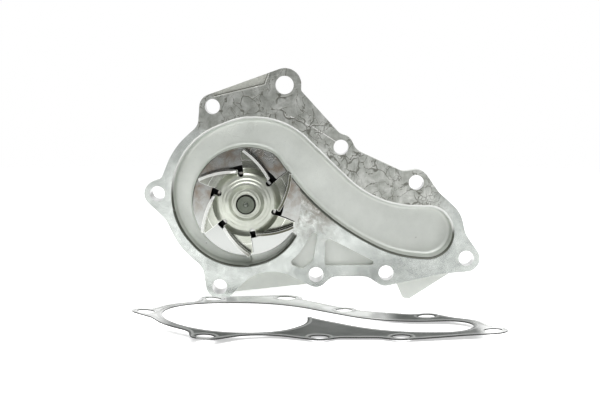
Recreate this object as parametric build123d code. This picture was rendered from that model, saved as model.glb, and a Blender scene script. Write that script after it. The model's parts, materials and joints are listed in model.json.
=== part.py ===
from build123d import *
import math
import os

# Engine-mounted coolant pump: volute housing, bearing cartridge, face seal, stamped impeller,
# drive hub and mounting gasket.
# Millimetres. X right, Z up, Y from the impeller towards the drive hub.
# Origin: shaft axis in the plane of the mounting face. The mounting face looks towards -Y.

# ---- driving dimensions -------------------------------------------------------------------
FLANGE_T = 9.0            # thickness of the mounting flange
WALL = 4.0                # cast wall round the volute
VOLUTE_DEPTH = 13.0       # depth of the scroll and its outlet channel
TAIL_DEPTH = 8.5          # depth of the narrow start of the scroll
LIP_R = 1.5               # rounded mouth of the scroll
FLOOR_R = 2.6             # fillet between scroll wall and floor
DISC_R = 33.2             # round land that the impeller runs over
SPOT_R = 33.0             # machined face behind the impeller
SPOT_DEPTH = 0.3
MOAT_IN, MOAT_OUT = 18.4, 22.5    # annular hollow round the seal seat
MOAT_DEPTH = 9.0
HOLE_R = 4.5              # clearance hole for an M8 bolt
BIG_HOLE_R = 5.5          # clearance hole for an M10 bolt
LEDGE_DEPTH = 2.6
POCKET_DEPTH = 4.5

SHAFT_R = 7.959           # 15.918 mm integral bearing shaft
NOSE_R = 5.6              # shaft journal at the impeller
SHAFT_FRONT = -19.0
SHAFT_STEP = 14.0
SHAFT_BACK = 89.0

BEARING_R = 15.0
BEARING_FRONT = 25.0
BEARING_LENGTH = 38.9
RACE_R = 12.6
RUN_GAP = 0.02            # running clearance inside the bearing
BALL_R = 3.175
BALL_COUNT = 8
BALL_Y = 35.0
GROOVE_SINK = 0.8         # depth of the ball groove in the shaft
ROLLER_R = 2.25
ROLLER_LENGTH = 11.0
ROLLER_COUNT = 11
ROLLER_Y = 52.5
CAGE_IN = 9.2
CAGE_OUT = 11.5
CAGE_GAP = 0.15

SEAL_BORE_R = 14.5
SEAL_BORE_END = 13.0
SEAL_FLANGE_R = 16.8
SEAL_FLANGE_T = 0.8
CHAMBER_R = 11.0          # drain chamber between seal and bearing
WEEP_R = 2.5
WEEP_Y = 19.0
WEEP_BOSS_R = 5.5
WEEP_BOSS_FOOT = -31.0    # height of the open end of the drain boss
WEEP_PLUG_L = 6.0
SNOUT_R = 20.5
SNOUT_END = 65.0
SNOUT_ROOT = [(30.0, 10.0), (28.0, 19.0), (SNOUT_R, 31.0)]

VANES = 6
TIP_R = 32.2
TIP_ANGLE = 32.2          # angle of the first vane tip, counter-clockwise from +X seen from -Y
VANE_SWEEP = 45.4         # angle between a vane's tip and its inner end
VANE_ROOT_R = 20.6
VANE_BOW = 1.4            # how far the vane bows outward of its chord
SHEET_T = 1.6
PETAL_BACK = -1.5         # rear surface of the flat petals
PETAL_LEAD = 4.8          # angle from a vane's tip to the radial cut beside it
PETAL_TIP_R = 31.5
PRESS_RING_R = 25.5       # beyond this radius the petals are pressed a little thinner
PRESS_RING_DEPTH = 0.25
VANE_FRONT = -12.0        # front edge of the vanes
NOTCH_W = 3.5
NOTCH_R = 17.6            # radius of the round end's centre from the shaft axis
NOTCH_LEAD = 8.8

HUB_R = 39.0
HUB_FLANGE_FRONT = 76.0
HUB_FLANGE_T = 6.5
STUD_CIRCLE_R = 29.0
STUD_COUNT = 4
STUD_R = 4.0
KNURL_R = 4.3             # the part of the stud that grips the hub
STUD_OUT = 21.0           # stud length beyond the hub flange

GASKET_T = 0.6
GASKET_ANGLE = -0.57
GASKET_X = 0.3
GASKET_Y = -76.0
FLOOR_Z = -59.1
GASKET_BOW_R = 1500.0     # radius of the gasket's slight bow
GASKET_LOW_X = 61.0

BOSS_WALL = 3.1
RIB_T = 4.5
GUSSETS = [(20.0, 42.0), (92.0, 47.0), (160.0, 44.0), (232.0, 40.0), (312.0, 40.0)]   # angle, reach
GUSSET_END = 54.0
RIB_X, RIB_Z, RIB_LENGTH, RIB_SLOPE = 60.0, -8.0, 96.0, -14.0    # rib behind the outlet channel
RIB_HEIGHT = 5.0
WEB_FRONT, WEB_BACK = 8.0, 13.0
LUG_FRONT, LUG_BACK = 3.0, 14.0
SEAL_SEAT_Y = 2.0         # where the seal's flange seats in the housing
SEAL_LIP_W = 2.2
CENTRE_R = 1.6            # centre drilling in each end of the shaft

HUB_RIM_R = 20.4          # where the pressed hub meets the flat petals
COLLAR_R = 7.6
COLLAR_FRONT, COLLAR_BACK = -16.8, -5.7
HUB_PROFILE = [
    (HUB_RIM_R, -3.1), (17.9, -6.6), (16.8, -7.3), (14.9, -7.5), (14.1, -7.85), (12.9, -7.95),
    (12.1, -8.3), (10.8, -8.5), (8.7, -12.6), (COLLAR_R, -12.6),
]
BOOT_FRONT, BOOT_R = -5.7, 14.2
SEAT_FRONT, SEAT_FACE = -4.8, -0.6
SEAT_IN, SEAT_R = 7.4, 13.0
CARBON_FRONT, CARBON_BACK = -0.58, 3.8
CARBON_IN, CARBON_NOSE_R, CARBON_R = 8.6, 10.6, 12.6
SLEEVE_IN, SLEEVE_FRONT = 6.8, 4.6
BELLOWS_IN, BELLOWS_R, BELLOWS_FOLDS = 8.2, 10.0, 3
RETAINER_T, CUP_R, CUP_DEPTH = 0.6, 13.2, 1.8
SPRING_R, SPRING_WIRE_R, SPRING_TURNS = 11.5, 0.6, 4
HUB_BOSS_FRONT, HUB_BOSS_R = 69.0, 16.5
SPIGOT_R, SPIGOT_END = 12.5, 87.0
STUD_START = 45.0
STUD_HEAD_R, STUD_HEAD_T = 6.2, 3.0
WINDOW_CIRCLE_R, WINDOW_R = 27.0, 5.0

# Bolt holes of the mounting face: x, z, hole radius, depth of the boss behind it
BOLTS = [
    (-20.6, 57.6, HOLE_R, 14.0),
    (22.9, 70.5, BIG_HOLE_R, 14.0),
    (57.0, 33.1, HOLE_R, 10.0),
    (102.7, 11.7, HOLE_R, 10.0),
    (-54.3, 4.9, HOLE_R, 18.0),
    (133.5, -34.7, HOLE_R, 10.0),
    (-16.8, -52.1, HOLE_R, 18.0),
    (42.0, -44.7, HOLE_R, 18.0),
    (84.7, -43.7, HOLE_R, 10.0),
]

# Outlines are belts run counter-clockwise round rollers: x, z, radius.
# A positive radius turns the outline left, a negative one is a hollow that turns it right.
FLANGE = [
    (133.6, -34.9, 8.1), (148.2, -13.1, -16.4), (112.9, -16.4, 18.8), (127.0, 15.2, -14.1),
    (102.7, 11.6, 7.8), (95.7, 26.9, -8.4), (73.1, 38.0, -9.0), (57.0, 33.0, 7.6),
    (59.5, 46.5, -5.9), (35.8, 68.2, -2.9), (23.1, 70.8, 9.9), (-20.8, 57.4, 7.7),
    (-37.2, 50.0, -8.1), (-6.3, 6.2, 45.1), (-56.0, 18.6, -5.7), (-54.3, 4.9, 7.9),
    (-59.3, -17.6, -11.9), (-4.3, 0.3, 45.4), (-37.0, -45.9, -10.9), (-17.5, -51.6, 7.5),
    (-14.8, -51.4, 7.7), (15.1, -68.2, -25.4), (41.9, -44.9, 7.4), (54.4, -53.0, -7.0),
    (70.6, -54.7, -8.8), (84.3, -43.7, 7.9), (121.4, -64.2, -20.1),
]
OUTLET_END = (109.6, -18.8, 15.4)
SCROLL_OUTER = [
    OUTLET_END, (102.8, 57.0, -60.3), (4.7, 5.2, 45.2), (-1.1, 4.7, 43.6), (-3.3, -0.1, 38.8),
]
SCROLL_TAIL = [(-1.3, -4.1, 34.5), (27.8, -20.5, 1.2)]
CHANNEL_INNER = [(139.0, 100.1, 140.5), (109.8, 36.3, 70.4)]
DISC = [(0.0, 0.0, -DISC_R), (9.5, 18.9, -12.1)]


def heading(roller, following):
    """Direction of the belt's straight run from one roller to the next."""
    (x0, z0, r0), (x1, z1, r1) = roller, following
    span = math.dist((x0, z0), (x1, z1))
    return math.atan2(z1 - z0, x1 - x0) + math.asin((r0 - r1) / span)


def belt(rollers, grow=0.0):
    """Flat face inside a belt round the rollers, moved outward by grow."""
    rolls = [(x, z, r + grow) for x, z, r in rollers]
    runs = [heading(a, b) for a, b in zip(rolls, rolls[1:] + rolls[:1])]
    edges = []
    last_end = None
    for index, (x, z, r) in enumerate(rolls):
        start = runs[index - 1]
        turn = (runs[index] - start) % (2 * math.pi)
        if r < 0:
            turn -= 2 * math.pi
        points = [
            Vector(x + r * math.sin(start + turn * part), z - r * math.cos(start + turn * part))
            for part in (0, 0.5, 1)
        ]
        if last_end is not None:
            edges.append(Line(last_end, points[0]))
        edges.append(ThreePointArc(*points))
        last_end = points[2]
    edges.append(Line(last_end, edges[0] @ 0))
    return make_face(Curve() + edges)


def slab(face, y_front, y_back):
    """The flat face, drawn in X and Z, made solid from y_front to y_back."""
    plane = Plane(origin=(0, y_back, 0), x_dir=(1, 0, 0), z_dir=(0, -1, 0))
    return extrude(plane * face, amount=y_back - y_front)


def turned(*profile):
    """Solid of revolution about the shaft axis from (radius, y) points."""
    outline = make_face(Polyline(*profile, close=True))
    return revolve(outline, axis=Axis.Y)


def tube(r_in, r_out, y_front, y_back):
    """Plain ring about the shaft axis."""
    return turned((r_in, y_front), (r_out, y_front), (r_out, y_back), (r_in, y_back))


def peg(x, z, radius, y_front, y_back):
    """Cylinder parallel to the shaft axis."""
    return slab(Pos(x, z) * Circle(radius), y_front, y_back)


def polar(radius, angle):
    """Point in the X, Z plane at an angle in degrees from +X towards +Z."""
    return (radius * math.cos(math.radians(angle)), radius * math.sin(math.radians(angle)))


def round_shaft_axis(part, count, start=0.0):
    """Copies of a part spaced evenly round the shaft axis."""
    return [Rot(0, -(start + 360.0 * k / count), 0) * part for k in range(count)]


def fuse(parts):
    """One part from a list of overlapping parts."""
    whole = parts[0]
    for part in parts[1:]:
        whole += part
    return whole


def edges_at(part, y, reach=0.01):
    """Edges that lie wholly in the plane at y."""
    def flat(edge):
        box = edge.bounding_box()
        return abs(box.min.Y - y) < reach and abs(box.max.Y - y) < reach
    return part.edges().filter_by(flat)


# ---- housing ------------------------------------------------------------------------------
SCROLL = SCROLL_OUTER + SCROLL_TAIL + DISC + CHANNEL_INNER
SCROLL_END = (0.0, -36.25, 3.0)       # where the full depth gives way to the shallow tail
SCROLL_BACK = SCROLL_OUTER + SCROLL_TAIL[:1] + [(39.6, -29.0, -13.0)] + CHANNEL_INNER[1:]
POCKET_LEFT = [
    (40.9, -21.0, 2.0), (25.1, -25.4, -9.0), (29.2, -37.1, 2.3), (33.4, -38.6, 2.3),
    (38.2, -35.0, 2.2),
]
POCKET_RIGHT = [(50.0, -25.2, 2.4), (49.0, -37.3, 1.8), (75.5, -37.3, 1.5)]
WEB = [(-16.3, -50.9, 6.4), (42.4, -44.9, 6.2), (30.0, -35.9, 5.0), (-5.9, -39.6, 5.0)]
LUG = [(90.8, -44.4, 2.0), (97.9, -56.1, 3.9), (121.1, -42.4, 3.0), (104.9, -35.4, 5.0)]
LEDGE = [(-19.2, 63.8), (10.8, 71.0), (14.4, 80.5), (-5.3, 84.0), (-25.1, 70.1)]


def scroll_cut():
    """The hollow of the scroll and outlet channel, with a rounded floor."""
    deep = slab(belt(SCROLL_OUTER + [SCROLL_END] + DISC + CHANNEL_INNER), -1.0, VOLUTE_DEPTH)
    deep = fillet(edges_at(deep, VOLUTE_DEPTH), FLOOR_R)
    tail = slab(belt(SCROLL), -1.0, TAIL_DEPTH)
    tail = fillet(edges_at(tail, TAIL_DEPTH), 0.9)
    return deep + tail


def flange_plate():
    """Mounting flange with the rounded mouth of the scroll already formed."""
    plate = slab(belt(FLANGE), 0.0, FLANGE_T)
    plate = fillet(edges_at(plate, FLANGE_T), 1.0)
    plate -= slab(belt(SCROLL), -1.0, FLANGE_T + 1.0)
    front = plate.faces().sort_by(Axis.Y)[0]
    return fillet(front.inner_wires()[0].edges(), LIP_R)


def scroll_back():
    """The cast wall that follows the scroll behind the flange."""
    back = slab(belt(SCROLL_BACK, grow=WALL), 2.5, VOLUTE_DEPTH + WALL)
    return fillet(edges_at(back, VOLUTE_DEPTH + WALL), 4.0)


def gusset(angle, reach, y_end):
    """Tapered rib between the flange and the bearing snout."""
    inside = SNOUT_R - 6.0
    foot = FLANGE_T - 3.0
    outline = make_face(Polyline(
        (inside, foot), (reach, foot), (reach, FLANGE_T + 3.0), (SNOUT_R, y_end), (inside, y_end),
        close=True,
    ))
    return Rot(0, -angle, 0) * extrude(outline, amount=RIB_T / 2, both=True)


def drain_rod(radius, top, bottom):
    """Upright cylinder on the line of the drain hole."""
    return Pos(0, WEEP_Y, (top + bottom) / 2) * Cylinder(radius, top - bottom)


def snout():
    """Bearing snout with its root cone, the gussets and the boss of the drain hole."""
    root = turned((0, SNOUT_ROOT[0][1]), *SNOUT_ROOT, (SNOUT_R, SNOUT_END), (0, SNOUT_END))
    root = chamfer(edges_at(root, SNOUT_END), 1.2)
    ribs = [gusset(angle, reach, GUSSET_END) for angle, reach in GUSSETS]
    return fuse([root, drain_rod(WEEP_BOSS_R, -CHAMBER_R - 2.0, WEEP_BOSS_FOOT)] + ribs)


def channel_rib():
    """Stiffening rib along the back of the outlet channel."""
    run = Pos(RIB_X, RIB_Z) * Rot(0, 0, RIB_SLOPE) * Rectangle(RIB_LENGTH, RIB_T)
    crest = VOLUTE_DEPTH + WALL + RIB_HEIGHT
    return chamfer(edges_at(slab(run, VOLUTE_DEPTH, crest), crest), 1.0)


def ledge_cut():
    """The strip between the two top bolts that is set back from the mounting face."""
    return slab(make_face(Polyline(*LEDGE, close=True)), -1.0, LEDGE_DEPTH)


def bores():
    """Everything turned out of the housing about the shaft axis."""
    steps = turned(
        (0, -1), (SEAL_FLANGE_R + 0.3, -1), (SEAL_FLANGE_R + 0.3, SEAL_SEAT_Y), (SEAL_BORE_R, SEAL_SEAT_Y),
        (SEAL_BORE_R, SEAL_BORE_END), (CHAMBER_R, SEAL_BORE_END), (CHAMBER_R, BEARING_FRONT),
        (BEARING_R, BEARING_FRONT), (BEARING_R, SNOUT_END - 1), (BEARING_R + 1, SNOUT_END),
        (BEARING_R + 1, SNOUT_END + 1), (0, SNOUT_END + 1),
    )
    weep = drain_rod(WEEP_R, -CHAMBER_R + 2.0, WEEP_BOSS_FOOT - 1.0)
    spot = peg(0, 0, SPOT_R, -1.0, SPOT_DEPTH)
    moat = tube(MOAT_IN, MOAT_OUT, -1.0, MOAT_DEPTH)
    moat = fillet(edges_at(moat, MOAT_DEPTH), 1.0)
    return [steps, weep, spot, moat]


def housing():
    """Die-cast body: flange, scroll, outlet channel, bearing snout and ribs."""
    bosses = [peg(x, z, r + BOSS_WALL, 1.0, depth) for x, z, r, depth in BOLTS]
    web = slab(belt(WEB), WEB_FRONT, WEB_BACK)
    lug = slab(belt(LUG), LUG_FRONT, LUG_BACK)
    body = fuse([flange_plate(), scroll_back(), snout(), channel_rib(), web, lug] + bosses)
    body -= scroll_cut()
    for x, z, r, depth in BOLTS:
        body -= peg(x, z, r, -1.0, depth + 12.0)
    body -= slab(belt(POCKET_LEFT), -1.0, POCKET_DEPTH)
    body -= slab(belt(POCKET_RIGHT), -1.0, POCKET_DEPTH)
    body -= ledge_cut()
    for hollow in bores():
        body -= hollow
    return body


def weep_plug():
    """Filter plug in the drain hole."""
    return drain_rod(WEEP_R, WEEP_BOSS_FOOT + 1.0 + WEEP_PLUG_L, WEEP_BOSS_FOOT + 1.0)


# ---- bearing ------------------------------------------------------------------------------
BALL_PITCH_R = SHAFT_R - GROOVE_SINK + BALL_R
ROLLER_PITCH_R = SHAFT_R + ROLLER_R


def ball_groove():
    """Torus that the balls sweep."""
    section = Pos(BALL_PITCH_R, BALL_Y) * Circle(BALL_R)
    return revolve(section, axis=Axis.Y)


def outer_ring():
    """Outer ring, pressed into the snout, with a groove for the balls."""
    ring = tube(RACE_R, BEARING_R, BEARING_FRONT, BEARING_FRONT + BEARING_LENGTH)
    return ring - ball_groove()


def lip_seal(y_front):
    """Rubber lip seal between the outer ring and the shaft."""
    y_back = y_front + SEAL_LIP_W
    return turned(
        (SHAFT_R + 0.06, y_front + 0.8), (RACE_R, y_front), (RACE_R, y_back),
        (SHAFT_R + 2.0, y_back - 0.5), (SHAFT_R + 0.06, y_back - 0.9),
    )


def balls():
    one = Pos(BALL_PITCH_R, BALL_Y, 0) * Sphere(BALL_R - RUN_GAP)
    return Compound(children=round_shaft_axis(one, BALL_COUNT))


def ball_cage():
    half = BALL_R + 1.1
    cage = tube(CAGE_IN, CAGE_OUT, BALL_Y - half, BALL_Y + half)
    pocket = Pos(BALL_PITCH_R, BALL_Y, 0) * Rot(0, 90, 0) * Cylinder(BALL_R + CAGE_GAP, 6.0)
    for window in round_shaft_axis(pocket, BALL_COUNT):
        cage -= window
    return cage


def lying_cylinder(radius, length, pitch_r, y):
    """Cylinder parallel to the shaft, centred at a radius from it."""
    return Pos(pitch_r, y, 0) * Rot(90, 0, 0) * Cylinder(radius, length)


def rollers():
    one = lying_cylinder(ROLLER_R - RUN_GAP, ROLLER_LENGTH, ROLLER_PITCH_R, ROLLER_Y)
    one = chamfer(one.edges(), 0.3)
    return Compound(children=round_shaft_axis(one, ROLLER_COUNT))


def roller_cage():
    half = ROLLER_LENGTH / 2 + 1.6
    cage = tube(CAGE_IN, CAGE_OUT, ROLLER_Y - half, ROLLER_Y + half)
    window = lying_cylinder(
        ROLLER_R + CAGE_GAP, ROLLER_LENGTH + 2 * CAGE_GAP, ROLLER_PITCH_R, ROLLER_Y)
    for opening in round_shaft_axis(window, ROLLER_COUNT):
        cage -= opening
    return cage


# ---- shaft and what is fixed to it --------------------------------------------------------
def shaft():
    """Bearing shaft with a thinner impeller journal and centre drillings in both ends."""
    body = turned(
        (0, SHAFT_FRONT), (NOSE_R - 0.4, SHAFT_FRONT), (NOSE_R, SHAFT_FRONT + 0.4),
        (NOSE_R, SHAFT_STEP), (SHAFT_R - 0.6, SHAFT_STEP), (SHAFT_R, SHAFT_STEP + 0.6),
        (SHAFT_R, SHAFT_BACK - 1.0), (SHAFT_R - 1.0, SHAFT_BACK), (0, SHAFT_BACK),
    )
    body -= ball_groove()
    for y, inward in ((SHAFT_FRONT, 1), (SHAFT_BACK, -1)):
        body -= turned((0, y), (CENTRE_R, y), (0, y + inward * CENTRE_R * 1.7))
    return body


def pressed_sheet(front, thickness):
    """Turned sheet of even thickness behind a front profile of (radius, y) points."""
    shifted = []
    runs = [Vector(b) - Vector(a) for a, b in zip(front, front[1:])]
    sides = [Vector(run.Y, -run.X).normalized() for run in runs]
    sides = [side if side.Y > 0 else -side for side in sides]
    before = [sides[0]] + sides
    after = sides + [sides[-1]]
    for point, a, b in zip(front, before, after):
        mitre = (a + b).normalized()
        shifted.append(Vector(point) + mitre * (thickness / mitre.dot(a)))
    return turned(*front, *[(p.X, p.Y) for p in reversed(shifted)])


def vane_line(tip_angle):
    """Tip, middle and root of a vane's bowed outer face, and the way it faces."""
    tip = Vector(polar(TIP_R, tip_angle))
    root = Vector(polar(VANE_ROOT_R, tip_angle - VANE_SWEEP))
    along = (root - tip).normalized()
    out = Vector(-along.Y, along.X)
    return tip, (tip + root) / 2 + out * VANE_BOW, root, out


def vane_outline(tip_angle):
    """Plan of one standing vane: a thin bowed strip from its tip to its root."""
    tip, middle, root, out = vane_line(tip_angle)
    inner = -out * SHEET_T
    return make_face(
        ThreePointArc(tip, middle, root) + Line(root, root + inner)
        + ThreePointArc(root + inner, middle + inner, tip + inner) + Line(tip + inner, tip)
    )


def petal_outline(tip_angle):
    """Plan of the flat petal between a vane and the radial cut at its tip."""
    tip, middle, root, _ = vane_line(tip_angle)
    corner = Vector(polar(PETAL_TIP_R, tip_angle + PETAL_LEAD))
    return make_face(
        ThreePointArc(tip, middle, root) + Line(root, (0, 0)) + Line((0, 0), corner)
        + Line(corner, tip)
    )


def relief_slot(tip_angle):
    """Round-ended slot beside a petal that lets its neighbour's vane fold."""
    reach = 8.0
    eye = peg(NOTCH_R, 0, NOTCH_W / 2, VANE_FRONT, 1.0)
    throat = slab(Pos(NOTCH_R + reach / 2, 0) * Rectangle(reach, NOTCH_W), VANE_FRONT, 1.0)
    return Rot(0, -(tip_angle + NOTCH_LEAD), 0) * (eye + throat)


def impeller():
    """Stamped impeller: pressed hub, six flat petals and a vane folded up from each."""
    tips = [TIP_ANGLE + 360.0 * k / VANES for k in range(VANES)]
    petal_front = PETAL_BACK - SHEET_T
    inside_rim = peg(0, 0, HUB_RIM_R - 0.6, VANE_FRONT - 1, 1.0)
    thinned = tube(PRESS_RING_R, TIP_R + 5, VANE_FRONT, petal_front + PRESS_RING_DEPTH)
    petals = [slab(petal_outline(a), petal_front, PETAL_BACK) - inside_rim - thinned for a in tips]
    vanes = [slab(vane_outline(a), VANE_FRONT, PETAL_BACK) for a in tips]
    body = fuse([pressed_sheet(HUB_PROFILE, SHEET_T)] + petals)
    for angle in tips:
        body -= relief_slot(angle)
    return fuse([body] + vanes)


def impeller_collar():
    """Steel collar between the stamping and the shaft."""
    return turned(
        (NOSE_R, COLLAR_FRONT), (COLLAR_R - 0.4, COLLAR_FRONT), (COLLAR_R, COLLAR_FRONT + 0.4),
        (COLLAR_R, COLLAR_BACK), (NOSE_R, COLLAR_BACK),
    )


def seat_boot():
    """Rubber cup that holds the seal's rotating ring against the impeller."""
    return turned(
        (NOSE_R, BOOT_FRONT), (BOOT_R, BOOT_FRONT), (BOOT_R, SEAT_FACE - 1.0), (SEAT_R, SEAT_FACE - 1.0),
        (SEAT_R, SEAT_FRONT), (NOSE_R, SEAT_FRONT),
    )


def seat_ring():
    """Ceramic ring that turns against the carbon ring."""
    return turned(
        (SEAT_IN, SEAT_FRONT), (SEAT_R, SEAT_FRONT), (SEAT_R, SEAT_FACE - 0.4),
        (SEAT_R - 0.4, SEAT_FACE), (SEAT_IN, SEAT_FACE),
    )


def slinger():
    """Rubber ring that throws leaked coolant into the drain chamber."""
    front, back = WEEP_Y - 1.6, WEEP_Y + 1.2
    neck_r, rim_r = 9.2, 10.4
    return turned(
        (SHAFT_R, front), (neck_r, front), (rim_r, front + 1.1), (rim_r, back - 1.1), (neck_r, back),
        (SHAFT_R, back),
    )


def drive_hub():
    """Pressed-on hub with a spigot that centres the fan and pulley."""
    front, back = HUB_FLANGE_FRONT, HUB_FLANGE_FRONT + HUB_FLANGE_T
    body = turned(
        (SHAFT_R, HUB_BOSS_FRONT), (HUB_BOSS_R - 1, HUB_BOSS_FRONT), (HUB_BOSS_R, HUB_BOSS_FRONT + 1),
        (HUB_BOSS_R, front - 3), (HUB_BOSS_R + 3, front), (HUB_R - 0.8, front), (HUB_R, front + 0.8),
        (HUB_R, back - 0.8), (HUB_R - 0.8, back), (SPIGOT_R, back), (SPIGOT_R, SPIGOT_END - 0.8),
        (SPIGOT_R - 0.8, SPIGOT_END), (SHAFT_R, SPIGOT_END),
    )
    stud_hole = peg(STUD_CIRCLE_R, 0, KNURL_R, front - 1, back + 1)
    for hole in round_shaft_axis(stud_hole, STUD_COUNT, STUD_START):
        body -= hole
    window = peg(WINDOW_CIRCLE_R, 0, WINDOW_R, front - 1, back + 1)
    for hole in round_shaft_axis(window, STUD_COUNT, STUD_START + 180.0 / STUD_COUNT):
        body -= hole
    return body


def hub_studs():
    """Studs pressed through the hub from the pump side."""
    front, back = HUB_FLANGE_FRONT, HUB_FLANGE_FRONT + HUB_FLANGE_T
    tip = back + STUD_OUT
    head = peg(STUD_CIRCLE_R, 0, STUD_HEAD_R, front - STUD_HEAD_T, front)
    head = chamfer(edges_at(head, front - STUD_HEAD_T), 0.6)
    knurl = peg(STUD_CIRCLE_R, 0, KNURL_R, front, back)
    shank = peg(STUD_CIRCLE_R, 0, STUD_R, back, tip)
    shank = chamfer(edges_at(shank, tip), 1.0)
    return Compound(children=round_shaft_axis(head + knurl + shank, STUD_COUNT, STUD_START))


# ---- stationary half of the face seal -----------------------------------------------------
def seal_shell():
    """Drawn metal cup pressed into the housing, with an inner guide sleeve."""
    t = SEAL_FLANGE_T
    end = SEAL_BORE_END
    return turned(
        (SEAL_FLANGE_R, SEAL_SEAT_Y - t), (SEAL_FLANGE_R, SEAL_SEAT_Y), (SEAL_BORE_R, SEAL_SEAT_Y),
        (SEAL_BORE_R, end), (SLEEVE_IN, end), (SLEEVE_IN, SLEEVE_FRONT), (SLEEVE_IN + t, SLEEVE_FRONT),
        (SLEEVE_IN + t, end - t), (SEAL_BORE_R - t, end - t), (SEAL_BORE_R - t, SEAL_SEAT_Y - t),
    )


def carbon_ring():
    """Stationary carbon ring with a narrow raised nose."""
    return turned(
        (CARBON_IN, CARBON_FRONT), (CARBON_NOSE_R, CARBON_FRONT), (CARBON_NOSE_R, CARBON_FRONT + 1.4),
        (CARBON_R, CARBON_FRONT + 1.4), (CARBON_R, CARBON_BACK), (CARBON_IN, CARBON_BACK),
    )


def bellows():
    """Rubber bellows between the carbon ring and the floor of the shell."""
    start, end = CARBON_BACK, SEAL_BORE_END - SEAL_FLANGE_T
    pitch = (end - start) / BELLOWS_FOLDS
    outer = [(BELLOWS_R, start)]
    for fold in range(BELLOWS_FOLDS):
        y = start + fold * pitch
        outer.append((BELLOWS_R, y + pitch * 0.3))
        outer.append((BELLOWS_R - 0.8, y + pitch * 0.5))
        outer.append((BELLOWS_R, y + pitch * 0.7))
    outer.append((BELLOWS_R, end))
    return turned(*outer, (BELLOWS_IN, end), (BELLOWS_IN, start))


def spring_seat(y_flat, side):
    """Pressed ring that centres one end of the spring; side is the way its lip points."""
    t = RETAINER_T
    return turned(
        (BELLOWS_R, y_flat), (CUP_R, y_flat), (CUP_R, y_flat + side * CUP_DEPTH),
        (CUP_R - t, y_flat + side * CUP_DEPTH), (CUP_R - t, y_flat + side * t),
        (BELLOWS_R, y_flat + side * t),
    )


def seal_spring():
    """Coil spring that presses the carbon ring forward."""
    start = CARBON_BACK + RETAINER_T + SPRING_WIRE_R
    end = SEAL_BORE_END - SEAL_FLANGE_T - RETAINER_T - SPRING_WIRE_R
    path = Helix(pitch=(end - start) / SPRING_TURNS, height=end - start, radius=SPRING_R)
    wire = sweep(Plane(origin=path @ 0, z_dir=path % 0) * Circle(SPRING_WIRE_R), path=path, is_frenet=True)
    return Pos(0, start, 0) * Rot(-90, 0, 0) * wire


# ---- gasket -------------------------------------------------------------------------------
GASKET_OPENING = SCROLL_OUTER + [
    (-1.3, -4.1, 34.5), (-0.3, 0.2, 35.7), (36.1, 10.1, -0.7), (150.7, 104.2, 147.4),
    (109.8, 36.3, 70.4),
]


def gasket():
    """Steel gasket lying in front of the pump, slightly bowed along its length."""
    outline = belt(FLANGE, grow=-0.3) - belt(GASKET_OPENING, grow=0.4)
    for x, z, r, _ in BOLTS:
        outline -= Pos(x, z) * Circle(r + 0.4)
    height, half_width = 20.0, 130.0
    bow = Pos(GASKET_LOW_X, GASKET_BOW_R) * (Circle(GASKET_BOW_R) - Circle(GASKET_BOW_R - GASKET_T))
    bow &= Pos(GASKET_LOW_X, 0) * Rectangle(2 * half_width, 2 * height)
    plate = extrude(outline, amount=height) & extrude(Plane.XZ * bow, amount=100, both=True)
    return Pos(GASKET_X, GASKET_Y, FLOOR_Z) * Rot(0, 0, GASKET_ANGLE) * plate


# ---- write one file for each piece --------------------------------------------------------
NODES = {
    "pump_housing": housing,
    "weep_plug": weep_plug,
    "bearing_outer_ring": outer_ring,
    "bearing_seal_front": lambda: lip_seal(BEARING_FRONT + 0.5),
    "bearing_seal_rear": lambda: lip_seal(BEARING_FRONT + BEARING_LENGTH - SEAL_LIP_W - 0.5),
    "bearing_balls": balls,
    "ball_cage": ball_cage,
    "bearing_rollers": rollers,
    "roller_cage": roller_cage,
    "pump_shaft": shaft,
    "impeller": impeller,
    "impeller_collar": impeller_collar,
    "seal_seat_boot": seat_boot,
    "seal_seat_ring": seat_ring,
    "seal_shell": seal_shell,
    "seal_carbon_ring": carbon_ring,
    "seal_bellows": bellows,
    "seal_spring": seal_spring,
    "seal_spring_seat_front": lambda: spring_seat(CARBON_BACK, 1),
    "seal_spring_seat_rear": lambda: spring_seat(SEAL_BORE_END - SEAL_FLANGE_T, -1),
    "slinger_ring": slinger,
    "drive_hub": drive_hub,
    "hub_studs": hub_studs,
    "mounting_gasket": gasket,
}

os.makedirs("parts", exist_ok=True)
for name, make in NODES.items():
    export_step(make(), f"parts/{name}.step")
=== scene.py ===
import json
import math

import bmesh
import bpy
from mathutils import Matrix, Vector
from mathutils.bvhtree import BVHTree


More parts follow.
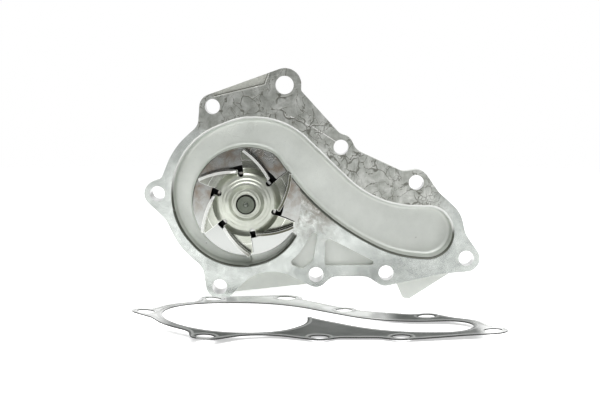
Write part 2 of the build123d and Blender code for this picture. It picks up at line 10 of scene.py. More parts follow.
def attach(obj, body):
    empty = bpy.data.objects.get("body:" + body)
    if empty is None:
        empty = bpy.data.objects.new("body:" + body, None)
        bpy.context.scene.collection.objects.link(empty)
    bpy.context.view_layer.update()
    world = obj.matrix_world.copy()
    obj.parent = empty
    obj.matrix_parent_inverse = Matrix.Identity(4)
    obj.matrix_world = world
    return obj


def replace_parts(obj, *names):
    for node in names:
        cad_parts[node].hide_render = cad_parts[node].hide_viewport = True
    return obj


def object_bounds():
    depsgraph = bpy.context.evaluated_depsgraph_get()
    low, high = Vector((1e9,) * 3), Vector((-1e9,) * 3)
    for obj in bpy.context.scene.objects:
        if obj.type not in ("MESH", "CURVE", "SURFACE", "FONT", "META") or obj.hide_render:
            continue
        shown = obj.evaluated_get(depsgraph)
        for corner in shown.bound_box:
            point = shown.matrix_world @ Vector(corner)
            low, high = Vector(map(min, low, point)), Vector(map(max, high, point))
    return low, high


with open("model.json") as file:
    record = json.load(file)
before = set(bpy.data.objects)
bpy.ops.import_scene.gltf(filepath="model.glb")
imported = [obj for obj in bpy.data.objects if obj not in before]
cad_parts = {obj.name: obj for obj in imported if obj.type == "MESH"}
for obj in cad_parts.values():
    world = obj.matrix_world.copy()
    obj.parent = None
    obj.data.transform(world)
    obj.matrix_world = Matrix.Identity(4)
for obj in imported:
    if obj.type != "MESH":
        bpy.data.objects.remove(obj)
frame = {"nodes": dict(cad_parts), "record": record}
cad_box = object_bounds()

MM = 0.001
NODES = frame["nodes"]

# Bolt holes of the mounting face: x, z and hole radius in millimetres
BOLT_HOLES = [
    (-20.6, 57.6, 4.5), (22.9, 70.5, 5.5), (57.0, 33.1, 4.5), (102.7, 11.7, 4.5), (-54.3, 4.9, 4.5),
    (133.5, -34.7, 4.5), (-16.8, -52.1, 4.5), (42.0, -44.7, 4.5), (84.7, -43.7, 4.5),
]
DISC_R = 33.0                    # edge of the turned round seat behind the impeller
SEAT_DEPTH = 0.3
MOAT_IN, MOAT_OUT = 18.4, 22.5   # annular hollow round the seal
MOAT_DEPTH = 9.0
SCROLL_DEPTH = 13.0
LIP_R = 1.5                      # rounded mouth of the scroll
LEDGE_BOTTOM, LEDGE_DEPTH = 60.0, 3.0
BEARING_BORE_R = 15.0
BEARING_FRONT = 25.0
SNOUT_END = 65.0
SEAL_RIM_R = 15.2                # the seal's flange is painted black beyond this, as shade behind the impeller
VANE_FRONT = -12.0
IMPELLER_HUB_R = 18.0
PETAL_ROOT_R = 20.4
SHAFT_FRONT = -19.0
NOSE_R = 5.6

# Marks on the housing: straight runs from one (x, z) to the next, with a width, in millimetres
# Painted light along the ledge's edge: a highlight on the milled face and a shadow on the cast ledge beside
# it
PAINTED_LEDGE_EDGE = [((-19.2, 63.8), (10.8, 71.0), 0.9), ((10.8, 71.0), (14.4, 80.5), 0.9)]
SCRATCH = [((26.6, 51.5), (39.6, 45.5), 0.45), ((39.6, 45.5), (54.6, 36.0), 0.35)]
SMEAR = [((27.0, 13.0), (50.0, -8.0), 8.0)]
RUB = [((24.0, -3.5), (40.0, -13.0), 3.2), ((30.0, 2.0), (43.0, -6.0), 2.0)]
STAIN_CENTRE, STAIN_REACH = (38.0, -3.0), 34.0
FILM_SLOPE, FILM_START = 0.42, 29.0      # the dull film lies above this sloping line over the channel

# Tones that several marks share
# Dark tone of the cracks, also used for the painted shadow beside the ledge edge
CRACK_AND_SHADOW_TONE = (0.12, 0.12, 0.10)
# Painted shade in the gap round the shaft end
GAP_SHADE_TONE = (0.012, 0.012, 0.01)

# Studs of the drive hub
STUD_CIRCLE_R = 29.0
STUD_COUNT = 4
STUD_START = 45.0
STUD_HEAD = [(73.0, 5.5), (73.7, 6.2), (76.0, 6.2), (76.0, 4.28)]
STUD_SEAT_Y = 82.5
STUD_TIP_Y = 103.5
THREAD_R = 3.97
THREAD_ROOT_R = 3.32
THREAD_PITCH = 1.25
THREAD_RINGS = 8                 # rings of points in one pitch
KNURL_R = 4.28
KNURL_DEPTH = 0.25
ROUND_STEPS = 48

# Pressed beads of the gasket
BEAD_W, BEAD_H = 1.7, 0.28
BEAD_PROFILE = [(-0.5, -0.25), (-0.28, 0.7), (0.0, 1.0), (0.28, 0.7), (0.5, -0.25)]
BEAD_SPACING = 0.9
BEAD_ROOM, BEAD_FADE = 1.6, 1.2  # sunk within this of another edge, at full height this much further
HOLE_BEAD_OFFSET = 1.7
EDGE_BEAD_OFFSET = 1.9
SHARP_ANGLE = 32


# ---- camera, floor and light --------------------------------------------------------------
def make_camera():
    """Camera a little above the shaft axis and to its right, turned slightly down."""
    data = bpy.data.cameras.new("camera")
    data.sensor_width = 36.0
    data.lens = 79.07
    camera = bpy.data.objects.new("camera", data)
    camera.location = (0.02978, -0.7955, 0.07954)
    camera.rotation_euler = (math.radians(90 - 5.637), 0.0, math.radians(-0.174))
    bpy.context.scene.collection.objects.link(camera)
    bpy.context.scene.camera = camera


def make_floor():
    """Plain near-white floor under the lowest point of the part, fading out at its rim."""
    level = cad_box[0][2] - 0.05 * MM
    mesh = bpy.data.meshes.new("floor")
    half = 1.3
    corners = [(-half, -half, level), (half, -half, level), (half, half, level), (-half, half, level)]
    mesh.from_pydata(corners, [], [(0, 1, 2, 3)])
    floor = bpy.data.objects.new("floor", mesh)
    bpy.context.scene.collection.objects.link(floor)
    kit = Shader("studio_floor")
    kit.set(base=(0.94, 0.94, 0.94), rough=0.9, specular=0.0)
    kit.set_fade(kit.remap(kit.vector("LENGTH", kit.where()), 1200.0, 550.0))
    kit.set_glow((1.0, 1.0, 1.0), 0.5)
    mesh.materials.append(kit.material)


def softbox(name, place, target, size, watts):
    """Square area light at a place, turned to a target."""
    data = bpy.data.lights.new(name, "AREA")
    data.shape = "SQUARE"
    data.size = size
    data.energy = watts
    light = bpy.data.objects.new(name, data)
    light.location = place
    light.rotation_euler = (Vector(target) - Vector(place)).to_track_quat("-Z", "Y").to_euler()
    bpy.context.scene.collection.objects.link(light)


def make_lights():
    softbox("key_softbox", (-0.35, -0.75, 0.95), (0.03, 0.0, 0.0), 0.9, 6.5)
    softbox("top_softbox", (0.05, 0.15, 1.15), (0.03, 0.0, 0.0), 1.1, 5.0)
    softbox("back_softbox", (0.25, 1.0, 0.8), (0.03, 0.0, 0.0), 0.9, 2.0)
    softbox("front_fill", (0.3, -1.0, 1.25), (0.03, 0.0, 0.0), 0.9, 8.0)


def make_world():
    """White studio: dim towards the room in front, bright overhead and behind."""
    world = bpy.data.worlds.new("studio")
    world.use_nodes = True
    bpy.context.scene.world = world
    tree = world.node_tree
    tree.nodes.clear()
    kit = Graph(tree)
    direction = kit.add("ShaderNodeTexCoord").outputs["Generated"]
    _, y, z = kit.split(direction)
    height = kit.ramp(z, [(0.0, 0.12), (0.12, 0.10), (0.3, 0.16), (0.6, 0.4), (1.0, 0.45)])
    front = kit.remap(y, -0.1, 0.35, 0.0, 0.9)
    below = kit.remap(z, 0.0, -0.2, 0.12, 0.95)
    seen = kit.add("ShaderNodeLightPath").outputs["Is Camera Ray"]
    level = kit.most(height, below, front, seen)
    background = kit.add("ShaderNodeBackground")
    kit.link(level, background.inputs["Color"])
    output = kit.add("ShaderNodeOutputWorld")
    kit.link(background.outputs[0], output.inputs["Surface"])


# ---- shader building blocks ---------------------------------------------------------------
class Graph:
    """Short names for the shader nodes that the materials are made of."""

    def __init__(self, tree):
        self.tree = tree

    def add(self, kind, **values):
        node = self.tree.nodes.new(kind)
        for name, value in values.items():
            setattr(node, name, value)
        return node

    def link(self, source, socket):
        self.tree.links.new(source, socket)

    def feed(self, socket, value):
        """Link a socket, or set a plain number or vector on it."""
        if isinstance(value, bpy.types.NodeSocket):
            self.link(value, socket)
        else:
            socket.default_value = value

    def split(self, vector):
        node = self.add("ShaderNodeSeparateXYZ")
        self.link(vector, node.inputs[0])
        return node.outputs[0], node.outputs[1], node.outputs[2]

    def join(self, x, y, z):
        node = self.add("ShaderNodeCombineXYZ")
        for socket, value in zip(node.inputs, (x, y, z)):
            self.feed(socket, value)
        return node.outputs[0]

    def maths(self, operation, a, b=0.0, clamp=False):
        node = self.add("ShaderNodeMath", operation=operation, use_clamp=clamp)
        self.feed(node.inputs[0], a)
        self.feed(node.inputs[1], b)
        return node.outputs[0]

    def times(self, *values):
        """Product of numbers."""
        product = values[0]
        for value in values[1:]:
            product = self.maths("MULTIPLY", product, value)
        return product

    def most(self, *values):
        """Largest of some numbers."""
        largest = values[0]
        for value in values[1:]:
            largest = self.maths("MAXIMUM", largest, value)
        return largest

    def size_of(self, value):
        return self.maths("ABSOLUTE", value)

    def vector(self, operation, a, b=(0.0, 0.0, 0.0), scale=1.0):
        node = self.add("ShaderNodeVectorMath", operation=operation)
        self.feed(node.inputs[0], a)
        self.feed(node.inputs[1], b)
        if operation == "SCALE":
            node.inputs["Scale"].default_value = scale
        return node.outputs["Value" if operation in ("LENGTH", "DISTANCE", "DOT_PRODUCT") else "Vector"]

    def remap(self, value, low, high, out_low=0.0, out_high=1.0):
        """Smooth step of a value from low to high."""
        node = self.add("ShaderNodeMapRange", interpolation_type="SMOOTHSTEP")
        self.feed(node.inputs["Value"], value)
        node.inputs["From Min"].default_value = low
        node.inputs["From Max"].default_value = high
        node.inputs["To Min"].default_value = out_low
        node.inputs["To Max"].default_value = out_high
        return node.outputs["Result"]

    def ramp(self, value, stops):
        """Grey or colour ramp from (place, value) stops."""
        node = self.add("ShaderNodeValToRGB")
        self.feed(node.inputs[0], value)
        elements = node.color_ramp.elements
        while len(elements) < len(stops):
            elements.new(0.5)
        for element, (place, tone) in zip(elements, stops):
            element.position = place
            rgb = (tone, tone, tone) if isinstance(tone, float) else tone
            element.color = (*rgb, 1.0)
        return node.outputs["Color"]

    def mix(self, share, a, b):
        """Colour mix from a to b."""
        node = self.add("ShaderNodeMix", data_type="RGBA")
        self.feed(node.inputs["Factor"], share)
        for socket, value in ((node.inputs[6], a), (node.inputs[7], b)):
            self.feed(socket, (*value, 1.0) if isinstance(value, tuple) else value)
        return node.outputs[2]

    def tint(self, tone, level):
        """Tone made lighter or darker by a level."""
        return self.vector("MULTIPLY", tone, self.join(level, level, level))

    def blend(self, share, a, b):
        """Number mix from a to b."""
        node = self.add("ShaderNodeMix", data_type="FLOAT")
        self.feed(node.inputs["Factor"], share)
        self.feed(node.inputs[2], a)
        self.feed(node.inputs[3], b)
        return node.outputs[0]

    def noise(self, where, scale, detail=3.0, rough=0.55, warp=0.0):
        node = self.add("ShaderNodeTexNoise")
        self.link(where, node.inputs["Vector"])
        node.inputs["Scale"].default_value = scale
        node.inputs["Detail"].default_value = detail
        node.inputs["Roughness"].default_value = rough
        node.inputs["Distortion"].default_value = warp
        return node.outputs["Fac"]

    def drift(self, where, scale, reach):
        """Noise centred on nought along each axis, of a size set by reach, for bending a pattern."""
        node = self.add("ShaderNodeTexNoise")
        self.link(where, node.inputs["Vector"])
        node.inputs["Scale"].default_value = scale
        centred = self.vector("SUBTRACT", node.outputs["Color"], (0.5, 0.5, 0.5))
        return self.vector("SCALE", centred, scale=reach)

    def cells(self, where, scale, feature="DISTANCE_TO_EDGE"):
        node = self.add("ShaderNodeTexVoronoi", feature=feature)
        self.link(where, node.inputs["Vector"])
        node.inputs["Scale"].default_value = scale
        return node.outputs["Distance"]

    def bump(self, height, strength, distance):
        node = self.add("ShaderNodeBump")
        node.inputs["Strength"].default_value = strength
        node.inputs["Distance"].default_value = distance * MM
        self.link(height, node.inputs["Height"])
        return node.outputs["Normal"]


class Shader(Graph):
    """A material with one Principled shader, and places measured in millimetres of the part."""

    def __init__(self, name):
        self.material = bpy.data.materials.new(name)
        self.material.use_nodes = True
        super().__init__(self.material.node_tree)
        self.shader = self.tree.nodes["Principled BSDF"]
        self.place = None

    def set(self, base=None, rough=None, metal=None, specular=None, normal=None):
        sockets = {
            "Base Color": (*base, 1.0) if isinstance(base, tuple) else base, "Roughness": rough,
            "Metallic": metal, "Specular IOR Level": specular, "Normal": normal,
        }
        for name, value in sockets.items():
            if value is not None:
                self.feed(self.shader.inputs[name], value)

    def set_fade(self, solid):
        """Let the surface go clear where solid is 0."""
        self.feed(self.shader.inputs["Alpha"], solid)

    def set_glow(self, tone, strength):
        self.shader.inputs["Emission Color"].default_value = (*tone, 1.0)
        self.shader.inputs["Emission Strength"].default_value = strength

    def where(self):
        """Place on the part in millimetres, which stays with the part as it moves."""
        if self.place is None:
            coords = self.add("ShaderNodeTexCoord").outputs["Object"]
            self.place = self.vector("SCALE", coords, scale=1.0 / MM)
        return self.place

    def facing(self):
        """Surface direction in the part's frame."""
        return self.add("ShaderNodeTexCoord").outputs["Normal"]

    def near_edge(self, reach):
        """1 beside a sharp edge, fading to 0 at its reach in millimetres."""
        bevel = self.add("ShaderNodeBevel", samples=8)
        bevel.inputs["Radius"].default_value = reach * MM
        flat = self.add("ShaderNodeNewGeometry").outputs["Normal"]
        return self.remap(self.vector("DOT_PRODUCT", bevel.outputs[0], flat), 0.985, 0.9)

    def stretched(self, x, y, z):
        """Place with each axis scaled, for grain that runs one way."""
        return self.vector("MULTIPLY", self.where(), (x, y, z))

    def round_axis(self):
        """Distance from the shaft axis."""
        return self.vector("LENGTH", self.stretched(1.0, 0.0, 1.0))

    def near_run(self, start, end, width):
        """1 beside the middle of a straight run between two (x, z) points, fading to 0 at its width."""
        x, _, z = self.split(self.where())
        run_x, run_z = end[0] - start[0], end[1] - start[1]
        square = run_x ** 2 + run_z ** 2
        along = self.vector("DOT_PRODUCT", self.join(x, z, 0.0), (run_x / square, run_z / square, 0.0))
        offset = (start[0] * run_x + start[1] * run_z) / square
        share = self.maths("SUBTRACT", along, offset, clamp=True)
        near_x = self.maths("ADD", self.times(share, run_x), start[0])
        near_z = self.maths("ADD", self.times(share, run_z), start[1])
        gap = self.vector("DISTANCE", self.join(x, z, 0.0), self.join(near_x, near_z, 0.0))
        return self.remap(gap, width, width * 0.3)

    def near_runs(self, runs):
        """1 beside any of the straight runs given as (start, end, width)."""
        return self.most(*(self.near_run(*run) for run in runs))

    def near_spot(self, centre, reach):
        """1 at an (x, z) spot, fading smoothly to 0 at its reach."""
        x, _, z = self.split(self.where())
        gap = self.vector("DISTANCE", self.join(x, z, 0.0), (*centre, 0.0))
        return self.remap(gap, reach, 0.0)


# ---- materials ----------------------------------------------------------------------------
# Many tones change with place or facing to stand for light and reflections in the photo, and not
# for the real finish. They stay on the part in another light, and turn with the impeller.

def machined_zones(kit):
    """Shares of the housing that are milled face, turned seat, and drilled or bored."""
    x, y, z = kit.split(kit.where())
    _, facing_y, _ = kit.split(kit.facing())
    radius = kit.round_axis()
    on_face = kit.remap(kit.size_of(y), 0.12, 0.06)
    milled = kit.times(kit.remap(facing_y, -0.97, -0.995), on_face)
    on_seat = kit.remap(kit.size_of(kit.maths("SUBTRACT", y, SEAT_DEPTH)), 0.12, 0.06)
    turned = kit.times(on_seat, kit.remap(radius, DISC_R + 0.1, DISC_R))
    drilled = 0.0
    for hole_x, hole_z, hole_r in BOLT_HOLES:
        gap = kit.vector("DISTANCE", kit.join(x, 0.0, z), (hole_x, 0.0, hole_z))
        drilled = kit.most(drilled, kit.remap(gap, hole_r + 0.15, hole_r + 0.05))
    bored = kit.remap(radius, BEARING_BORE_R + 0.6, BEARING_BORE_R + 0.3)
    bored = kit.times(bored, kit.remap(y, BEARING_FRONT - 1.0, BEARING_FRONT))
    faced = kit.remap(y, SNOUT_END - 0.2, SNOUT_END - 0.05)
    return milled, turned, kit.most(drilled, bored, faced)


def cast_skin(kit, speckle, painted_ledge_edge):
    """Tone of the die-cast skin: clouded, specked and nicked, with painted shade and painted highlights."""
    where = kit.where()
    x, y, z = kit.split(where)
    _, facing_y, facing_z = kit.split(kit.facing())
    radius = kit.round_axis()
    clouds = kit.noise(where, 0.045, 4.0, 0.6)
    tone = kit.ramp(clouds, [(0.3, (0.63, 0.655, 0.62)), (0.7, (0.74, 0.765, 0.725))])
    tone = kit.mix(kit.remap(speckle, 0.6, 0.8, 0.0, 0.3), tone, (0.44, 0.45, 0.42))

    nick_place = kit.vector("ADD", kit.join(x, 0.0, z), kit.drift(where, 1.0, 1.6))
    nicks = kit.remap(kit.cells(nick_place, 0.06, "F1"), 0.05, 0.03)
    nick_stops = [(0.48, (0.25, 0.26, 0.24)), (0.52, (0.95, 0.96, 0.94))]
    tone = kit.mix(kit.times(nicks, 0.6), tone, kit.ramp(kit.noise(where, 0.5, 1.0), nick_stops))

    # Painted shade: darker towards the right, and darker on faces turned to the back
    tone = kit.tint(tone, kit.remap(x, -40.0, 90.0, 1.04, 0.9))
    tone = kit.tint(tone, kit.remap(facing_y, 0.1, 0.8, 1.0, 0.7))
    ledge = kit.remap(z, LEDGE_BOTTOM, LEDGE_BOTTOM + 2.0)
    ledge = kit.times(ledge, kit.remap(y, LEDGE_DEPTH, LEDGE_DEPTH - 0.2))
    tone = kit.mix(ledge, tone, kit.mix(speckle, (0.31, 0.315, 0.28), (0.52, 0.53, 0.49)))

    # Painted shade on side faces down to the channel's depth, strongest on those that face up
    wall = kit.times(
        kit.remap(kit.size_of(facing_y), 0.8, 0.5), kit.remap(y, SCROLL_DEPTH - 0.1, SCROLL_DEPTH - 1.0),
        kit.remap(facing_z, -0.4, 0.1, 0.0, 0.36))
    tone = kit.mix(wall, tone, (0.30, 0.31, 0.28))
    # Painted shadow on the cast ledge beside its edge
    tone = kit.mix(kit.times(painted_ledge_edge, 0.8), tone, CRACK_AND_SHADOW_TONE)
    # Painted highlight on downward-facing walls just behind the face, outside the seat
    upper_wall = kit.times(
        kit.remap(facing_z, -0.1, -0.4), kit.remap(y, 6.0, 3.0), kit.remap(y, 0.0, 0.2),
        kit.remap(radius, DISC_R + 2.0, DISC_R + 4.0))
    tone = kit.mix(kit.times(upper_wall, 0.8), tone, (0.96, 0.97, 0.95))
    # Painted shade: the hollow round the seal is near black
    moat = kit.times(
        kit.remap(radius, MOAT_IN - 0.2, MOAT_IN), kit.remap(radius, MOAT_OUT + 0.2, MOAT_OUT),
        kit.remap(y, 0.5, 1.2), kit.remap(y, MOAT_DEPTH + 0.5, MOAT_DEPTH + 0.2))
    return kit.mix(moat, tone, (0.02, 0.02, 0.02))


def flow_marks(kit, bent):
    """Cracks and wandering lines in the grey layer on the dull part of the milled face."""
    where = kit.where()
    cracks = kit.remap(kit.cells(bent, 0.085), 0.035, 0.005)
    patches = kit.remap(kit.noise(where, 0.055, 2.0), 0.46, 0.54)
    away = kit.vector("ADD", where, (31.0, 0.0, 17.0))
    fine_cracks = kit.remap(kit.cells(kit.vector("ADD", bent, (7.0, 3.0, 5.0)), 0.22), 0.045, 0.005)
    fine_patches = kit.remap(kit.noise(away, 0.06, 2.0), 0.5, 0.6)
    wander = kit.noise(away, 0.075, 3.5, 0.55, 0.6)
    scribble = kit.remap(kit.size_of(kit.maths("SUBTRACT", wander, 0.52)), 0.011, 0.003)
    return kit.most(kit.times(cracks, patches), kit.times(fine_cracks, fine_patches), scribble)


def dull_face(kit, blotch):
    """Tone of the milled face above the channel, where a grey layer lies on it."""
    x, _, _ = kit.split(kit.where())
    film_stops = [(0.34, (0.25, 0.26, 0.235)), (0.5, (0.35, 0.36, 0.335)), (0.66, (0.5, 0.51, 0.485))]
    tone = kit.ramp(blotch, film_stops)
    streaks = kit.noise(kit.stretched(1.3, 1.0, 0.08), 1.0, 3.0, 0.6)
    tone = kit.mix(kit.remap(streaks, 0.52, 0.72, 0.0, 0.35), tone, (0.55, 0.56, 0.54))
    # Painted light: the face grows lighter towards the right
    tone = kit.tint(tone, kit.remap(x, -20.0, 80.0, 1.02, 1.22))
    return kit.mix(kit.near_runs(SCRATCH), tone, (0.8, 0.8, 0.78))


def clean_face(kit, bent, blotch):
    """Tone of the milled face below the channel, darker towards the right as painted shade, with a stain
    and rub marks beside the impeller.
    """
    x, _, _ = kit.split(kit.where())
    clouds = kit.noise(bent, 0.06, 5.0, 0.7)
    tone = kit.ramp(clouds, [(0.33, (0.41, 0.435, 0.415)), (0.67, (0.70, 0.735, 0.705))])
    # Painted shade: darker towards the right
    tone = kit.tint(tone, kit.remap(x, 20.0, 130.0, 1.0, 0.8))
    stain = kit.remap(kit.noise(bent, 0.22, 5.0, 0.7), 0.32, 0.7)
    stain = kit.times(kit.near_spot(STAIN_CENTRE, STAIN_REACH), stain)
    tone = kit.mix(stain, tone, (0.26, 0.25, 0.22))
    smear = kit.times(kit.near_runs(SMEAR), kit.remap(blotch, 0.35, 0.6, 0.35, 1.0), 0.85)
    tone = kit.mix(smear, tone, (0.2, 0.185, 0.155))
    rub = kit.times(kit.near_runs(RUB), kit.remap(kit.noise(bent, 0.5, 4.0, 0.7), 0.4, 0.62), 0.5)
    return kit.mix(rub, tone, (0.78, 0.8, 0.78))


def turned_seat(kit, bent, rings):
    """Tone of the turned seat behind the impeller, darker towards the top as painted shade, with a brown
    painted reflection on its upper part.
    """
    _, _, z = kit.split(kit.where())
    tone = kit.ramp(rings, [(0.3, (0.44, 0.455, 0.44)), (0.7, (0.56, 0.575, 0.555))])
    # Painted shade: darker towards the top
    tone = kit.tint(tone, kit.remap(z, -30.0, 14.0, 0.94, 0.62))
    # Painted reflection: brown patches on the upper part
    brown_reflection = kit.remap(kit.noise(bent, 0.13, 4.0, 0.6), 0.36, 0.68)
    brown_reflection = kit.times(brown_reflection, kit.remap(z, -20.0, 12.0), 0.9)
    return kit.mix(brown_reflection, tone, (0.2, 0.16, 0.122))


def cast_aluminium():
    """Die-cast skin, milled mounting face with flow marks, turned seats and drilled holes."""
    kit = Shader("cast_aluminium")
    where = kit.where()
    x, y, z = kit.split(where)
    _, facing_y, facing_z = kit.split(kit.facing())
    bent = kit.vector("ADD", where, kit.drift(where, 0.09, 9.0))
    speckle = kit.noise(where, 0.9, 3.0, 0.6)
    grain = kit.noise(where, 2.6, 2.0, 0.6)
    blotch = kit.noise(bent, 0.12, 5.0, 0.7)
    rings = kit.noise(kit.join(kit.round_axis(), 0.0, 0.0), 5.0, 3.0, 0.7)
    cutter = kit.noise(kit.stretched(0.5, 0.5, 9.0), 1.0, 2.0)

    milled, turned, cut = machined_zones(kit)
    lip = kit.times(
        kit.remap(y, LIP_R + 0.1, LIP_R - 0.2), kit.remap(facing_y, -0.04, -0.15),
        kit.maths("SUBTRACT", 1.0, kit.most(milled, turned)))
    skin = kit.maths("SUBTRACT", 1.0, kit.most(milled, lip, turned, cut))
    above_channel = kit.maths("ADD", kit.times(x, FILM_SLOPE), z)
    above_channel = kit.remap(above_channel, FILM_START, FILM_START + 6.0)
    dull = kit.times(above_channel, kit.remap(x, 128.0, 108.0))
    flow = kit.times(flow_marks(kit, bent), dull)
    painted_ledge_edge = kit.near_runs(PAINTED_LEDGE_EDGE)

    milled_tone = kit.mix(dull, clean_face(kit, bent, blotch), dull_face(kit, blotch))
    milled_tone = kit.mix(kit.times(flow, 0.8), milled_tone, CRACK_AND_SHADOW_TONE)
    # Painted highlight on the milled face along the ledge edge
    milled_tone = kit.mix(painted_ledge_edge, milled_tone, (0.64, 0.65, 0.61))
    # Painted highlight on lips that face down, at upper edges, and painted shade on lips that face up
    lip_highlight_and_shade = kit.mix(kit.remap(facing_z, -0.2, 0.05), (0.7, 0.71, 0.69), (0.07, 0.075, 0.06))
    base = kit.mix(milled, cast_skin(kit, speckle, painted_ledge_edge), milled_tone)
    base = kit.mix(turned, base, turned_seat(kit, bent, rings))
    base = kit.mix(cut, base, (0.68, 0.685, 0.68))
    base = kit.mix(lip, base, lip_highlight_and_shade)

    rough = kit.ramp(kit.noise(where, 0.3), [(0.3, 0.42), (0.7, 0.54)])
    rough = kit.blend(milled, rough, kit.blend(dull, 0.27, 0.36))
    rough = kit.blend(turned, rough, 0.16)
    rough = kit.blend(cut, rough, 0.28)
    rough = kit.blend(lip, rough, 0.3)
    metal = kit.blend(kit.times(lip, 0.75), kit.blend(skin, 1.0, 0.5), 0.0)

    relief = kit.times(skin, kit.maths("ADD", kit.times(speckle, 0.7), kit.times(grain, 0.5)))
    relief = kit.maths("SUBTRACT", relief, kit.times(flow, 0.6))
    relief = kit.maths("ADD", relief, kit.times(cutter, milled, 0.06))
    relief = kit.maths("ADD", relief, kit.times(rings, turned, 0.05))
    kit.set(base=base, rough=rough, metal=metal, normal=kit.bump(relief, 0.6, 0.12))
    return kit.material


def turned_metal(
        name, dark, light, rough, ring_scale, axis_scale, depth=0.02, end_marks=False, shade_beyond=99.0):
    """Lathe-turned metal with rings round the shaft axis on its ends and its sides.

    With end_marks, the front end of the shaft has a dark rim, painted shade of the gap round it,
    and a bright centre drilling. Beyond the given radius the metal is painted black, as shade.
    """
    kit = Shader(name)
    where = kit.where()
    _, y, _ = kit.split(where)
    radius = kit.round_axis()
    rings = kit.join(kit.times(radius, ring_scale), kit.times(y, axis_scale), 0.0)
    rings = kit.noise(rings, 1.0, 3.0, 0.7)
    clouds = kit.noise(where, 0.25, 3.0)
    tone = kit.ramp(kit.blend(0.5, rings, clouds), [(0.35, dark), (0.65, light)])
    if end_marks:
        at_end = kit.remap(y, SHAFT_FRONT + 0.8, SHAFT_FRONT + 0.5)
        # Painted shade on the rim of the shaft end, in the gap round it
        rim = kit.times(at_end, kit.remap(radius, NOSE_R - 0.6, NOSE_R - 0.5))
        tone = kit.mix(rim, tone, GAP_SHADE_TONE)
        shallow = kit.remap(y, SHAFT_FRONT + 4.0, SHAFT_FRONT + 3.0)
        drilling = kit.times(shallow, kit.remap(radius, 1.3, 1.0))
        tone = kit.mix(drilling, tone, (0.55, 0.57, 0.54))
    # Painted shade: black beyond the given radius
    tone = kit.mix(kit.remap(radius, shade_beyond - 0.3, shade_beyond), tone, (0.02, 0.02, 0.018))
    kit.set(base=tone, rough=kit.ramp(rings, [(0.3, rough * 0.8), (0.7, rough * 1.25)]), metal=1.0,
            normal=kit.bump(rings, 0.5, depth))
    return kit.material


def plated_steel():
    """Pressed sheet with bright zinc plating, faintly olive, with painted highlights along its edges and
    painted shade in places.
    """
    kit = Shader("plated_steel")
    where = kit.where()
    x, y, z = kit.split(where)
    radius = kit.round_axis()
    _, facing_y, _ = kit.split(kit.facing())
    fine = kit.noise(where, 1.6, 3.0, 0.6)
    petal = kit.remap(radius, PETAL_ROOT_R - 0.2, PETAL_ROOT_R + 0.4)

    clouds = kit.noise(where, 0.12, 4.0, 0.6)
    tone = kit.ramp(clouds, [(0.3, (0.42, 0.44, 0.38)), (0.7, (0.56, 0.58, 0.52))])
    tone = kit.mix(kit.remap(fine, 0.58, 0.78, 0.0, 0.4), tone, (0.3, 0.3, 0.25))
    # Painted shade: the petals darken towards the upper right
    across = kit.maths("ADD", kit.times(x, 0.8), kit.times(z, 0.6))
    upper_right_shade = kit.times(petal, kit.remap(across, -16.0, 16.0, 0.0, 0.3))
    tone = kit.mix(upper_right_shade, tone, (0.12, 0.12, 0.085))

    # Painted shade on the vane sides, stronger towards the right
    upright = kit.times(kit.remap(kit.size_of(facing_y), 0.6, 0.4), petal)
    vane_side_shade = kit.times(upright, kit.remap(y, -3.0, -3.6), kit.remap(x, -22.0, 8.0, 0.1, 0.6))
    tone = kit.mix(vane_side_shade, tone, (0.13, 0.13, 0.095))
    cut_edge = kit.times(upright, kit.remap(y, -3.6, -3.0))
    off_hub = kit.remap(radius, IMPELLER_HUB_R, IMPELLER_HUB_R + 0.6)
    vane_top = kit.times(
        kit.remap(facing_y, -0.9, -0.97), kit.remap(y, VANE_FRONT + 0.5, VANE_FRONT + 0.2), off_hub)
    bright = kit.most(cut_edge, vane_top)
    # Cut edges and vane fronts: painted highlight on the left and painted shade on the right; the hub and
    # petals are painted lighter or darker by place
    shaded = kit.remap(kit.maths("SUBTRACT", x, kit.times(z, 0.4)), -2.0, 20.0)
    edge_highlight_and_shade = kit.mix(shaded, (0.70, 0.71, 0.68), (0.12, 0.12, 0.09))
    hub_shade = kit.remap(x, -18.0, 18.0, 1.14, 0.97)
    petal_shade = kit.times(kit.remap(x, -12.0, -24.0, 1.0, 0.74), kit.remap(z, -6.0, -20.0, 1.0, 0.88))
    tone = kit.tint(tone, kit.blend(petal, hub_shade, petal_shade))
    tone = kit.mix(bright, tone, edge_highlight_and_shade)
    # Painted highlight along the sharp edges of the sheet
    tone = kit.mix(kit.times(kit.near_edge(0.5), off_hub, 0.9), tone, (0.95, 0.96, 0.93))
    # Painted shade in the gap between the collar and the shaft
    collar_gap_shade = kit.times(kit.remap(radius, NOSE_R + 0.5, NOSE_R + 0.3), kit.remap(y, -16.0, -16.4))
    tone = kit.mix(collar_gap_shade, tone, GAP_SHADE_TONE)

    rings = kit.noise(kit.join(radius, 0.0, 0.0), 1.3, 2.0)
    height = kit.maths("ADD", kit.times(rings, 0.3), kit.times(fine, 0.15))
    height = kit.maths("ADD", height, kit.times(kit.noise(where, 0.06, 1.0), 14.0))
    height = kit.maths("SUBTRACT", height, kit.times(radius, petal, 1.3))
    rough = kit.blend(petal, 0.3, kit.ramp(fine, [(0.3, 0.13), (0.7, 0.22)]))
    kit.set(base=tone, rough=kit.blend(bright, rough, 0.4), metal=kit.blend(petal, 0.72, 1.0),
            normal=kit.bump(height, 0.5, 0.06))
    return kit.material


